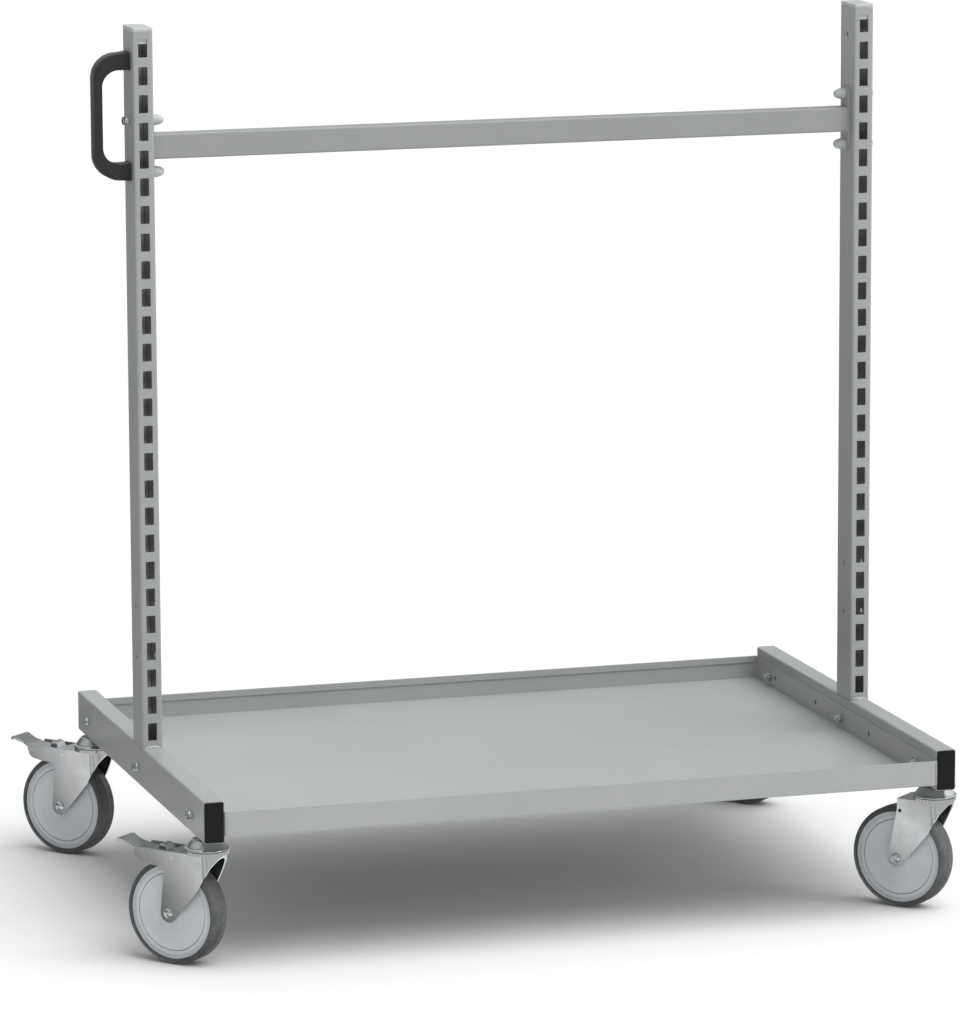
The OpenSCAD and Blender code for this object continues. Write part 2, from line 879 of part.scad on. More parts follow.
left_rail();
right_rail();
left_upright();
right_upright();
weld_beads();
upright_caps();
rail_end_plugs();
crossbar();
crossbar_end_plates();
crossbar_bolts();
crossbar_nuts();
dome_caps();
handle();
handle_inserts();
handle_screws();
tray_floor();
tray_end_walls();
tray_side_walls();
tray_bolts();
spring_washers();
tray_washers();
tray_nuts();
swivel_races();
swivel_balls();
caster_stems();
stem_nuts();
for (c = CORNERS) {
    at_corner(c) fork(is_braked(c));
    at_corner(c) axle(is_braked(c));
    at_corner(c) axle_nut();
    at_corner(c) thread_guards();
    at_corner(c) rim();
    at_corner(c) tyre();
    at_corner(c) bearings();
}
for (c = BRAKED) {
    at_corner(c) pedal();
    at_corner(c) pedal_pin();
    at_corner(c) brake_shoe();
}
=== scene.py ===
"""Tray trolley: its looks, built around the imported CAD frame.

The scene is in metres, with +Z up and the handle on the -X side. Shapes are drawn in mm and scaled by MM.
"""
import json
import math

import bmesh
import bpy
from mathutils import Matrix, Vector, noise


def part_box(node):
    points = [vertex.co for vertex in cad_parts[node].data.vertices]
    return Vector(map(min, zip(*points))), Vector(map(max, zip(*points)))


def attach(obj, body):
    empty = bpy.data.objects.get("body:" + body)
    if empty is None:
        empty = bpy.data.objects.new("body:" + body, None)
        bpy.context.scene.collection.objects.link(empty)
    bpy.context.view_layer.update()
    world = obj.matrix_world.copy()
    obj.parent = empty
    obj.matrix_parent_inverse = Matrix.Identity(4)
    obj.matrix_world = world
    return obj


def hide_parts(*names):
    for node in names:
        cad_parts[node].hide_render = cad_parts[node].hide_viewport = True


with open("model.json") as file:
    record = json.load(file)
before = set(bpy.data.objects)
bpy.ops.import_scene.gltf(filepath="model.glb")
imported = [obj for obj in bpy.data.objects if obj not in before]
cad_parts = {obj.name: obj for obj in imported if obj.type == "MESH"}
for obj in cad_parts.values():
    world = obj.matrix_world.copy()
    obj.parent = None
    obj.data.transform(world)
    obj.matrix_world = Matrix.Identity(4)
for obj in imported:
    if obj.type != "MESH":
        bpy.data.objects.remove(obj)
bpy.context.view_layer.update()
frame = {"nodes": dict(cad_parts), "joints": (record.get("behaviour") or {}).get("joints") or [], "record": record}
NODES = frame["nodes"]
RECORD = frame["record"]
SLOT_OF = {s["node"]: s["material_slot"] for s in RECORD["subparts"]}
BODY_OF = {n: b for b, nodes in RECORD["behaviour"]["bodies"].items() for n in nodes}
JOINTS = {j["name"]: j for j in frame["joints"]}
CORNERS = ("fl", "rl", "fr", "rr")
BRAKED = ("fl", "rl")
MM = 0.001
scene = bpy.context.scene


# ---- Materials ----

class Shader:
    """A material's node tree, with short calls for the textures used here."""

    def __init__(self, name, metallic=0.0, **sockets):
        self.material = bpy.data.materials.new(name)
        self.material.use_nodes = True
        self.tree = self.material.node_tree
        self.bsdf = self.tree.nodes["Principled BSDF"]
        self.bsdf.inputs["Metallic"].default_value = metallic
        for socket, value in sockets.items():
            self.bsdf.inputs[socket.replace("_", " ")].default_value = value
        self.coordinates = self.tree.nodes.new("ShaderNodeTexCoord").outputs["Object"]
        self.normal = None

    def link(self, a, b):
        self.tree.links.new(a, b)

    def stretched(self, scale):
        """Object coordinates scaled along each axis."""
        mapping = self.tree.nodes.new("ShaderNodeMapping")
        mapping.inputs["Scale"].default_value = scale
        self.link(self.coordinates, mapping.inputs["Vector"])
        return mapping.outputs["Vector"]

    def noise(self, scale, detail=2.0, roughness=0.5, vector=None, distortion=0.0):
        node = self.tree.nodes.new("ShaderNodeTexNoise")
        node.inputs["Scale"].default_value = scale
        node.inputs["Detail"].default_value = detail
        node.inputs["Roughness"].default_value = roughness
        node.inputs["Distortion"].default_value = distortion
        self.link(vector or self.coordinates, node.inputs["Vector"])
        return node.outputs["Fac"]

    def ramp(self, value, stops):
        """Maps a value through (position, colour or grey) stops."""
        node = self.tree.nodes.new("ShaderNodeValToRGB")
        band = node.color_ramp
        while len(band.elements) < len(stops):
            band.elements.new(0.5)
        for element, (position, colour) in zip(band.elements, stops):
            element.position = position
            if not hasattr(colour, "__len__"):
                colour = (colour, colour, colour)
            element.color = (*colour, 1.0)
        self.link(value, node.inputs["Fac"])
        return node.outputs["Color"]

    def mix(self, factor, a, b, blend="MIX"):
        node = self.tree.nodes.new("ShaderNodeMix")
        node.data_type = "RGBA"
        node.blend_type = blend
        for socket, value in ((node.inputs[0], factor), (node.inputs[6], a), (node.inputs[7], b)):
            if isinstance(value, (int, float)):
                socket.default_value = value
            elif isinstance(value, tuple):
                socket.default_value = (*value, 1.0)
            else:
                self.link(value, socket)
        return node.outputs[2]

    def colour(self, value):
        self.link(value, self.bsdf.inputs["Base Color"])

    def roughness(self, value):
        self.link(value, self.bsdf.inputs["Roughness"])

    def bump(self, height, distance, strength=1.0):
        node = self.tree.nodes.new("ShaderNodeBump")
        node.inputs["Distance"].default_value = distance
        node.inputs["Strength"].default_value = strength
        self.link(height, node.inputs["Height"])
        if self.normal:
            self.link(self.normal, node.inputs["Normal"])
        self.normal = node.outputs["Normal"]
        self.link(self.normal, self.bsdf.inputs["Normal"])


def tint(colour, factor):
    return tuple(min(1.0, c * factor) for c in colour)


COAT_GREY = (0.318, 0.329, 0.323)


def powder_coat(name, colour=COAT_GREY):
    """Satin powder coat with fine orange peel and faint shade changes."""
    s = Shader(name, Coat_Weight=0.3, Coat_Roughness=0.17, Specular_IOR_Level=0.5)
    patches = s.ramp(s.noise(5.0, 3), [(0.3, tint(colour, 0.97)), (0.7, tint(colour, 1.03))])
    specks = s.ramp(s.noise(2400, 1), [(0.35, 0.93), (0.65, 1.04)])
    s.colour(s.mix(1.0, patches, specks, "MULTIPLY"))
    s.roughness(s.ramp(s.noise(900, 2), [(0.25, 0.28), (0.75, 0.42)]))
    s.bump(s.noise(620, 2, 0.55), 0.00005, 0.5)
    s.bump(s.noise(150, 1), 0.00010, 0.2)
    return s.material


def weld_coat(name):
    """Lacquered weld: a little paler than the coat round it, with shiny ripples and dark pits."""
    s = Shader(name, Coat_Weight=0.4, Coat_Roughness=0.12)
    s.colour(s.ramp(s.noise(420, 4, 0.6), [(0.36, tint(COAT_GREY, 0.6)), (0.56, tint(COAT_GREY, 1.45))]))
    s.roughness(s.ramp(s.noise(700, 3), [(0.3, 0.22), (0.7, 0.4)]))
    s.bump(s.noise(650, 4, 0.6), 0.0003, 0.8)
    return s.material


def moulded_plastic(name, colour, roughness, grain=1800, depth=0.00002, **sockets):
    """Moulded plastic with a fine spark-eroded grain and a little flow shading."""
    s = Shader(name, **sockets)
    flow = s.ramp(s.noise(26, 3, 0.6), [(0.3, tint(colour, 0.95)), (0.7, tint(colour, 1.05))])
    scuffs = s.ramp(s.noise(60, 6, 0.7, s.stretched((1, 1, 7))), [(0.62, 0.0), (0.80, 0.35)])
    s.colour(s.mix(scuffs, flow, tint(colour, 1.3)))
    s.roughness(s.ramp(s.noise(420, 3), [(0.3, roughness - 0.06), (0.7, roughness + 0.07)]))
    s.bump(s.noise(grain, 2), depth, 0.7)
    return s.material


def zinc(name, colour, low, high, streaks=(1, 1, 1)):
    """Bright zinc plate: cloudy roughness, faint blue and straw tones, fine drawing lines."""
    s = Shader(name, metallic=1.0)
    straw = (colour[0] * 1.05, colour[1] * 1.03, colour[2] * 0.98)
    stops = [(0.25, tint(colour, 0.92)), (0.5, colour), (0.75, straw)]
    tone = s.ramp(s.noise(22, 3, 0.55, distortion=0.6), stops)
    lines = s.ramp(s.noise(700, 2, 0.6, s.stretched(streaks)), [(0.3, 0.94), (0.7, 1.03)])
    s.colour(s.mix(1.0, tone, lines, "MULTIPLY"))
    s.roughness(s.ramp(s.noise(60, 5, 0.65), [(0.3, low), (0.72, high)]))
    s.bump(s.noise(1300, 2), 0.000006, 0.4)
    s.bump(s.noise(24, 1), 0.00010, 0.2)
    return s.material


def brass(name):
    """Turned brass with a little dullness in patches."""
    s = Shader(name, metallic=1.0)
    s.colour(s.ramp(s.noise(120, 3), [(0.3, (0.58, 0.43, 0.19)), (0.7, (0.72, 0.56, 0.27))]))
    s.roughness(s.ramp(s.noise(500, 3), [(0.3, 0.22), (0.7, 0.34)]))
    s.bump(s.noise(1400, 2), 0.00001, 0.6)
    return s.material


def tyre_rubber(name):
    """Grey non-marking rubber, with dusty scuffs where it rolls."""
    s = Shader(name, Specular_IOR_Level=0.5)
    body = s.ramp(s.noise(45, 4, 0.6), [(0.3, (0.060, 0.062, 0.063)), (0.7, (0.084, 0.086, 0.088))])
    dust = s.ramp(s.noise(90, 7, 0.75, distortion=1.6), [(0.54, 0.0), (0.70, 0.6)])
    s.colour(s.mix(dust, body, (0.20, 0.205, 0.205)))
    s.roughness(s.ramp(s.noise(160, 5), [(0.3, 0.34), (0.7, 0.56)]))
    s.bump(s.noise(1300, 3), 0.00003, 0.7)
    s.bump(s.noise(170, 5, 0.7), 0.00010, 0.4)
    return s.material


MATERIALS = {
    "powder_coat": powder_coat("powder_coat"),
    "powder_coat_tray": powder_coat("powder_coat_tray", tint(COAT_GREY, 1.09)),
    "grey_cap": moulded_plastic("grey_cap", (0.44, 0.455, 0.455), 0.34),
    "black_plug": moulded_plastic(
        "black_plug", (0.009, 0.010, 0.010), 0.50, 1400, 0.00003, Specular_IOR_Level=0.15
    ),
    "handle_black": moulded_plastic(
        "handle_black", (0.020, 0.0215, 0.0215), 0.40, 1500, 0.00005, Specular_IOR_Level=0.35
    ),
    "zinc_fastener": zinc("zinc_fastener", (0.60, 0.62, 0.635), 0.12, 0.24),
    "zinc_sheet": zinc("zinc_sheet", (0.50, 0.515, 0.52), 0.12, 0.22, (8, 8, 1)),
    "bearing_steel": zinc("bearing_steel", (0.70, 0.71, 0.73), 0.10, 0.18),
    "brass_insert": brass("brass_insert"),
    "wheel_grey": moulded_plastic("wheel_grey", (0.58, 0.605, 0.62), 0.33, 2200, 0.000015),
    "tyre_rubber": tyre_rubber("tyre_rubber"),
    "brake_shoe": zinc("brake_shoe", (0.36, 0.37, 0.38), 0.34, 0.50),
}
for node, obj in NODES.items():
    obj.data.materials.clear()
    obj.data.materials.append(MATERIALS[SLOT_OF[node]])


# ---- Making meshes ----

def shown(bm, node, material=None, inside=None, angle=32, weighted=False):
    """Makes a mesh the visible form of a CAD node, with its materials, body and slot."""
    mesh = bpy.data.meshes.new(node + "_shown")
    bmesh.ops.recalc_face_normals(bm, faces=bm.faces)
    bm.to_mesh(mesh)
    bm.free()
    mesh.materials.append(material or MATERIALS[SLOT_OF[node]])
    if inside:
        mesh.materials.append(inside)
    mesh.shade_smooth()
    mesh.set_sharp_from_angle(angle=math.radians(angle))
    obj = bpy.data.objects.new(mesh.name, mesh)
    scene.collection.objects.link(obj)
    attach(obj, BODY_OF[node])
    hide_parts(node)
    if weighted:
        obj.modifiers.new("normals", "WEIGHTED_NORMAL").keep_sharp = True


def mesh_of(node):
    """The CAD node's mesh with its flat faces joined up."""
    bm = bmesh.new()
    bm.from_mesh(NODES[node].data)
    bmesh.ops.remove_doubles(bm, verts=bm.verts, dist=0.001 * MM)
    bmesh.ops.dissolve_limit(
        bm, angle_limit=math.radians(0.6), verts=bm.verts, edges=bm.edges, delimit={"NORMAL"}
    )
    return bm


def bevel(bm, edges, width, segments):
    bmesh.ops.bevel(
        bm, geom=edges, offset=width * MM, offset_type="OFFSET", segments=segments,
        profile=0.5, affect="EDGES", clamp_overlap=True,
    )


def is_hard(edge, angle=30):
    return len(edge.link_faces) == 2 and edge.calc_face_angle(0) > math.radians(angle)


def refined(node, width, segments=2, material=None):
    """The CAD node's own shape with its hard edges rounded."""
    bm = mesh_of(node)
    bevel(bm, [e for e in bm.edges if is_hard(e)], width, segments)
    shown(bm, node, material=material, weighted=True)


def solids(node):
    """(lowest corner, highest corner) in mm of each separate solid of a CAD node."""
    bm = bmesh.new()
    bm.from_mesh(NODES[node].data)
    bmesh.ops.remove_doubles(bm, verts=bm.verts, dist=0.001 * MM)
    unseen = set(bm.verts)
    boxes = []
    while unseen:
        solid = [unseen.pop()]
        for vert in solid:
            near = {e.other_vert(vert) for e in vert.link_edges} & unseen
            unseen -= near
            solid += near
        low = Vector([min(v.co[i] for v in solid) for i in range(3)]) / MM
        high = Vector([max(v.co[i] for v in solid) for i in range(3)]) / MM
        boxes.append((low, high))
    bm.free()
    return sorted(boxes, key=lambda b: tuple(round(x, 2) for x in b[0]))


def filleted(points, steps=6):
    """A closed path through (x, y) or (x, y, radius) points, with an arc at each radius."""
    path = []
    for i, point in enumerate(points):
        here = Vector(point[:2])
        radius = point[2] if len(point) > 2 else 0
        before = (Vector(points[i - 1][:2]) - here).normalized()
        after = (Vector(points[(i + 1) % len(points)][:2]) - here).normalized()
        if radius == 0:
            path.append(here)
            continue
        half = before.angle(after) / 2
        centre = here + (before + after).normalized() * (radius / math.sin(half))
        start = here + before * (radius / math.tan(half)) - centre
        left_turn = before.y * after.x - before.x * after.y
        swing = math.copysign(math.pi - 2 * half, left_turn)
        for k in range(steps + 1):
            path.append(centre + Matrix.Rotation(swing * k / steps, 2) @ start)
    return [(p.x, p.y) for p in path]


def skin(bm, rings, closed=False, capped=False):
    """Joins rings of vertices into a surface. A ring of one vertex makes a point."""
    pairs = list(zip(rings, rings[1:]))
    if closed:
        pairs.append((rings[-1], rings[0]))
    for low, high in pairs:
        count = max(len(low), len(high))
        for k in range(count):
            n = (k + 1) % count
            corners = [low[k % len(low)], low[n % len(low)], high[n % len(high)], high[k % len(high)]]
            corners = list(dict.fromkeys(corners))
            if len(corners) > 2:
                bm.faces.new(corners)
    if capped:
        bm.faces.new(rings[0])
        bm.faces.new(rings[-1])


def spin(profile, segments=96, closed=True):
    """Spins (radius, height) points about Z. A radius may be a function of the angle."""
    bm = bmesh.new()
    rings = []
    for radius, height in profile:
        if radius == 0:
            rings.append([bm.verts.new((0, 0, height * MM))])
            continue
        ring = []
        for k in range(segments):
            a = 2 * math.pi * k / segments
            r = radius(a) if callable(radius) else radius
            ring.append(bm.verts.new((r * MM * math.cos(a), r * MM * math.sin(a), height * MM)))
        rings.append(ring)
    skin(bm, rings, closed=closed)
    return bm


def layered(outline, layers, place):
    """Stacks outline(*shape) at each (height, *shape) layer, and puts the solid in place."""
    bm = bmesh.new()
    rings = []
    for height, *shape in layers:
        points = [place @ Vector((x * MM, y * MM, height * MM)) for x, y in outline(*shape)]
        rings.append([bm.verts.new(p) for p in points])
    skin(bm, rings, capped=True)
    return bm


def placed(template, places, bm=None):
    """A mesh, or more of the given one, with a copy of the template at each place."""
    bm = bm or bmesh.new()
    mesh = bpy.data.meshes.new("template")
    template.to_mesh(mesh)
    template.free()
    for place in places:
        first = len(bm.verts)
        bm.from_mesh(mesh)
        bm.verts.ensure_lookup_table()
        bmesh.ops.transform(bm, matrix=place, verts=bm.verts[first:])
    bpy.data.meshes.remove(mesh)
    return bm


def aimed(place, direction):
    """A place in mm whose own Z points along a direction."""
    turn = Vector(direction).to_track_quat("Z", "Y")
    return Matrix.Translation(Vector(place) * MM) @ turn.to_matrix().to_4x4()


def arc(centre, radius, start, end, steps=6):
    """Points on an arc, with its angles in degrees."""
    angles = [math.radians(start + (end - start) * k / steps) for k in range(steps + 1)]
    return [(centre[0] + radius * math.cos(a), centre[1] + radius * math.sin(a)) for a in angles]


# ---- Frame ----

def add_tray():
    """The tray's floor and walls, the outer bottom edges bent rather than sharp."""
    bend, edge = 1.4, 0.45
    shown(mesh_of("tray_floor"), "tray_floor", weighted=True)
    for node, across in (("tray_end_walls", 1), ("tray_side_walls", 0)):
        low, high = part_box(node)
        bm = mesh_of(node)

        def at_bottom(e):
            return all(v.co.z < low.z + 0.1 * MM for v in e.verts)

        def outside(e):
            return all(abs(v.co[across]) > high[across] - 0.1 * MM for v in e.verts)

        bevel(bm, [e for e in bm.edges if at_bottom(e) and outside(e)], bend, 4)
        bevel(bm, [e for e in bm.edges if is_hard(e, 45) and not at_bottom(e)], edge, 2)
        shown(bm, node, weighted=True)


BARE_STEEL = zinc("bare_steel", (0.62, 0.63, 0.63), 0.26, 0.42, (6, 6, 1))


def add_upright(node):
    """Slotted tube with soft slot edges, coated outside and bare steel inside."""
    wall, slot_edge = 2.0, 0.75
    low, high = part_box(node)
    middle = (low + high) / 2
    reach = (high - low) / 2 - Vector((1, 1, 0)) * (wall - 0.1) * MM
    bm = mesh_of(node)
    bevel(bm, [e for e in bm.edges if is_hard(e)], slot_edge, 3)
    for face in bm.faces:
        off = face.calc_center_median() - middle
        face.material_index = int(abs(off.x) < reach.x and abs(off.y) < reach.y)
    shown(bm, node, inside=BARE_STEEL, weighted=True)


def add_weld_beads():
    """Lumpy fillet welds: overlapping ripples along the root, rounded off at both ends."""
    along, around, ripple = 40, 7, 2.6
    bm = bmesh.new()
    for low, high in solids("weld_beads"):
        out = 1 if abs(high.y) > abs(low.y) else -1
        root = low.y if out > 0 else high.y
        size = high.z - low.z
        rings = []
        for i in range(along + 1):
            x = low.x + (high.x - low.x) * i / along
            ends = 1 - abs(2 * i / along - 1) ** 6
            wave = 0.86 + 0.10 * abs(math.sin(math.pi * x / ripple))
            ring = [bm.verts.new((x * MM, root * MM, low.z * MM))]
            for k in range(around + 1):
                a = math.pi / 2 * k / around
                lump = 0.12 * noise.noise(Vector((x / 2.1, root + 3 * a, 0)))
                r = size * min(1.0, max(0.05, ends) * (wave + lump))
                y, z = root + out * r * math.cos(a), low.z + r * math.sin(a)
                ring.append(bm.verts.new((x * MM, y * MM, z * MM)))
            rings.append(ring)
        skin(bm, rings, capped=True)
    shown(bm, "weld_beads", material=weld_coat("weld_coat"), angle=70)


ROUNDED_FRAME = {
    "left_rail": 0.4, "right_rail": 0.4, "crossbar_end_plates": 0.6, "rail_end_plugs": 0.4,
    "upright_caps": 0.5,
}
for node, width in ROUNDED_FRAME.items():
    refined(node, width)
refined("crossbar", 0.3, material=powder_coat("powder_coat_crossbar", tint(COAT_GREY, 0.88)))
for node in ("left_upright", "right_upright"):
    add_upright(node)
add_tray()
add_weld_beads()


# ---- Fasteners ----

M6 = 3.0
HEX_KEY = 5.0


def hexagon(across_flats, cut=math.inf):
    """Radius of a hexagon by angle, cut back to a circle of radius cut."""
    def radius(a):
        return min(cut, across_flats / 2 / math.cos(a % (math.pi / 3) - math.pi / 6))
    return radius


def knurl(radius, depth, flutes=32):
    """Radius of a knurled head by angle."""
    def at(a):
        return radius - depth * abs(2 * (a * flutes / (2 * math.pi) % 1) - 1)
    return at


def thread(radius, depth, pitch, start, end):
    """Profile points of a screw thread from height start to end."""
    def at(height):
        def crest(a):
            return radius - depth * abs(2 * ((height / pitch - a / (2 * math.pi)) % 1) - 1)
        return crest
    steps = int(abs(end - start) / pitch * 5)
    heights = [start + (end - start) * k / steps for k in range(steps + 1)]
    return [(at(h), h) for h in heights]


def socket_screw(length):
    """M6 socket head screw, from the top of its knurled head at Z = 0 to its point at +Z."""
    head_r, head_h, tip, threaded = 4.95, 6.0, length - 0.5, 10
    profile = [
        (0, 3.0), (hexagon(HEX_KEY), 2.9), (hexagon(HEX_KEY), 0.5), (3.25, 0.0),
        (4.2, 0.0), (4.7, 0.2), (head_r, 0.6), (knurl(head_r, 0.16), 0.9),
        (knurl(head_r, 0.16), head_h - 0.9), (head_r, head_h - 0.6), (4.7, head_h), (M6, head_h),
    ]
    profile += thread(M6, 0.5, 1.0, tip - threaded, tip)
    profile += [(2.3, length), (0, length)]
    return spin(profile, segments=96, closed=False)


def low_head_screw(length):
    """M6 screw with a low domed head, from its head's top at Z = 0."""
    head_r, head_h = 4.9, 3.5
    profile = [
        (0, 2.0), (hexagon(HEX_KEY), 1.9), (hexagon(HEX_KEY), 0.3), (3.1, 0.0),
        (3.8, 0.1), (4.5, 0.7), (head_r, 1.7), (head_r, head_h - 0.3), (4.7, head_h),
        (M6, head_h), (M6, length - 0.5), (2.4, length), (0, length),
    ]
    return spin(profile, segments=72, closed=False)


def hex_nut(height, across_flats=10, bore=M6 + 0.05):
    """Nut with chamfered corners and a countersunk bore, from Z = 0."""
    flat = across_flats / 2
    half = [
        (bore + 0.35, 0), (flat - 0.15, 0), (hexagon(across_flats, flat * 1.06), 0.25),
        (hexagon(across_flats), 0.65),
    ]
    return spin([(bore, 0.35)] + half + [(r, height - z) for r, z in reversed(half)]
                + [(bore, height - 0.35)], segments=72)


def along_x(node, make, from_outside=True):
    """Shows make(length) at each of a node's solids, its Z along X from the outer or inner end."""
    places = {}
    for low, high in solids(node):
        middle = (low + high) / 2
        side = math.copysign(1, middle.x)
        reach = max(abs(low.x), abs(high.x)) if from_outside else min(abs(low.x), abs(high.x))
        place = aimed((side * reach, middle.y, middle.z), (-side if from_outside else side, 0, 0))
        places.setdefault(round(high.x - low.x, 1), []).append(place)
    bm = bmesh.new()
    for length, some in places.items():
        placed(make(length), some, bm)
    shown(bm, node)


def split_washer(thickness, outer=5.1, inner=3.15):
    """Spring washer: a square-section ring, cut across and sprung a little open."""
    steps, gap, spring = 44, 0.16, 0.3
    bm = bmesh.new()
    rings = []
    for k in range(steps + 1):
        a = gap / 2 + (2 * math.pi - gap) * k / steps
        lift = spring * k / steps
        section = filleted([
            (inner, lift, 0.15), (outer, lift, 0.15),
            (outer, lift + thickness - spring, 0.15), (inner, lift + thickness - spring, 0.15),
        ], steps=2)
        rings.append([
            bm.verts.new((r * MM * math.cos(a), r * MM * math.sin(a), z * MM)) for r, z in section
        ])
    skin(bm, rings, capped=True)
    return bm


def flat_washer(thickness, outer=6.0, inner=3.2):
    edge = 0.25
    return spin([
        (inner, 0), (outer - edge, 0), (outer, edge), (outer, thickness - edge),
        (outer - edge, thickness), (inner, thickness),
    ], segments=64)


def dome_cap(length, radius=7.0):
    """Bullet-shaped plastic cap over a nut, with a small rim round its open end at Z = 0."""
    wall, rim_h = 0.8, 1.4
    rim_edge = [(radius - wall, 0), (radius - 0.2, 0), (radius, 0.3), (radius, rim_h - 0.2)]
    bullet = [
        ((radius - 0.25) * math.cos(a) ** 0.8, rim_h + (length - 0.1 - rim_h) * math.sin(a) ** 0.9)
        for a in (math.radians(6 * k) for k in range(15))
    ]
    tip = [(0, length - 0.1), (0, length - 2), (radius - wall, 4)]
    return spin(rim_edge + bullet + tip, segments=72)


FASTENERS = {
    "crossbar_bolts": socket_screw, "tray_bolts": socket_screw, "spring_washers": split_washer,
    "tray_washers": flat_washer, "tray_nuts": hex_nut, "crossbar_nuts": hex_nut, "dome_caps": dome_cap,
}
for node, make in FASTENERS.items():
    along_x(node, make)
along_x("handle_screws", low_head_screw, from_outside=False)


# ---- Handle ----

FLARE = 1.5
FOOT_H = 19.5
GRIP_T = 9.5


def handle_outline(inset, flare):
    """The bow handle from the front: X out from the upright, Y up, both in mm."""
    low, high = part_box("handle")
    out = (high.x - low.x) / MM - inset
    half = (high.z - low.z) / MM / 2 - FLARE - inset
    gap_half = half + inset - FOOT_H + inset
    gap_out = out + inset - GRIP_T + inset
    upper = [
        (gap_out, gap_half, 20 + inset), (8, gap_half), (0, gap_half - 0.6 * flare),
        (0, half + flare), (2, half + flare), (12, half), (out, half, 30 - inset),
    ]
    lower = [(x, -y, *radius) for x, y, *radius in reversed(upper)]
    return filleted(upper + lower, steps=14)


def add_handle():
    """Moulded bow handle: rounded rims front and rear, a ridge along the front, flared feet."""
    low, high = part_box("handle")
    half = (high.y - low.y) / MM / 2
    rim = [(0.0, 2.9), (0.35, 2.5), (0.35, 2.2), (0.0, 1.7), (0.12, 1.0), (0.5, 0.4), (1.2, 0.0)]
    groove = [(5.2, 0.0), (5.4, 0.35), (6.0, 0.35), (6.2, 0.0)]
    layers = [(depth - half, inset, 0.4) for depth, inset in rim]
    layers += [(depth - half, inset, FLARE) for depth, inset in groove]
    layers += [(half - depth, inset, FLARE) for depth, inset in reversed(rim[3:])]
    middle = Vector((high.x, 0, (low.z + high.z) / 2))
    turn = Matrix(((-1, 0, 0), (0, 0, 1), (0, 1, 0))).to_4x4()
    shown(layered(handle_outline, layers, Matrix.Translation(middle) @ turn), "handle", angle=40)


add_handle()


# ---- Casters ----

def about_swivel(corner):
    """The floor point below a caster's swivel axis, in mm."""
    x, y = JOINTS["swivel_" + corner]["pos_m"][:2]
    return Matrix.Translation((x, y, 0))


def about_axle(corner):
    """A wheel's centre, with Z along its axle towards the bolt's head."""
    joint = JOINTS["wheel_spin_" + corner]
    return aimed(Vector(joint["pos_m"]) / MM, joint["axis"])


def mirrored(half):
    """A profile in (radius, height), carried on below height 0."""
    return half + [(r, -z) for r, z in reversed(half)]


def add_swivel_heads():
    """Pressed ball races: a rolled lip, a steep cone and a short neck up to the rail."""
    low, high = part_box("swivel_races")
    foot, top = low.z / MM, high.z / MM
    lip = arc((25.1, foot + 1.4), 1.4, -70, 80, 7)
    cone = [(24.4, foot + 3.1), (22.6, foot + 5.0), (20.6, foot + 8.0), (19.0, foot + 10.2)]
    crest = arc((15.6, foot + 9.6), 3.0, 32, 88, 6)
    neck = [(13.0, foot + 12.5), (12.2, foot + 12.9), (12.0, top)]
    race = [(5.1, foot), (17.0, foot), (17.0, foot + 4.7), (22.4, foot + 4.7), (22.4, foot)]
    template = spin(race + lip + cone + crest + neck + [(5.1, top)])
    shown(placed(template, [about_swivel(c) for c in CORNERS]), "swivel_races")


def tyre():
    """Round-shouldered tread with a mould seam, and a bead that meets the rim."""
    radius, rim, half, edge = 62.5, 56.0, 16.2, 8.0
    seam = 0.12
    shoulder = arc((half - edge, radius - edge), edge, 12, 88, 12)
    side = [(rim, half - 1.5), (rim, half - 0.5), (rim + 0.5, half - 0.35)]
    curve = [(r, z) for z, r in shoulder]
    crown = [(radius - seam, 0.5), (radius, 0.2)]
    return spin(mirrored(side + curve + crown), segments=128)


def rim():
    """Nylon rim: bearing pockets, a thin web, and a broad lip with a fine groove."""
    half, lip, outer = 12.6, 46.6, 56.0
    hub = [(8, 1.2), (11.05, 1.2), (11.05, 7.8), (11.5, 8.2), (15.5, 8.2), (16, 7.7)]
    web = [(16.6, 4.6), (18.4, 3.2), (44.6, 3.0), (46.2, 3.9), (lip, 5.5)]
    face = [
        (lip, half - 0.5), (lip + 0.4, half), (lip + 4.2, half), (lip + 4.6, half - 0.25),
        (outer - 1.6, half - 0.35), (outer - 1.0, half), (outer - 0.4, half), (outer, half - 0.5),
    ]
    return spin(mirrored(hub + web + face), segments=128)


def thread_guard():
    """Disc over the bearing: a fine rolled edge, a shallow dish and a cone up to the fork."""
    bore, inner, outer, face, top = 4.05, 9.6, 46.0, 12.6, 17.0
    edge = [(outer, inner), (outer, face - 0.6), (outer - 0.35, face - 0.12), (outer - 1.0, face)]
    dish = [(outer - 1.8, face - 0.05), (outer - 2.6, face - 0.4), (34, face - 0.5), (24, face - 0.4)]
    cone = [(18, face + 0.1), (14, face + 0.8), (11.4, face + 2.4), (10.2, top - 0.4), (9.7, top)]
    return spin([(bore, 8.8), (6, 8.8), (6, inner)] + edge + dish + cone + [(bore, top)], segments=128)


def axle_bolt(domed):
    """Axle bolt along Z through the fork, its head on the near leg."""
    radius, leg, head_r, head_h, end = 4.0, 19.5, 6.0, 3.4, 28.0
    dome_r = 9.0
    centre = leg + head_h - dome_r
    start = 90 if domed else 68
    dome = arc((0, centre), dome_r, start, 49, 8)
    if domed:
        profile = [(0, leg + head_h)] + dome[1:]
    else:
        socket = hexagon(HEX_KEY)
        profile = [(0, leg + 1.3), (socket, leg + 1.4), (socket, leg + 2.4)] + dome
    profile += [(head_r, leg + 0.4), (head_r - 0.3, leg), (radius, leg), (radius, -leg - 0.5)]
    profile += thread(radius, 0.5, 1.25, -leg - 0.5, -end + 0.6)
    profile += [(3.2, -end), (0, -end)]
    return spin(profile, segments=72, closed=False)


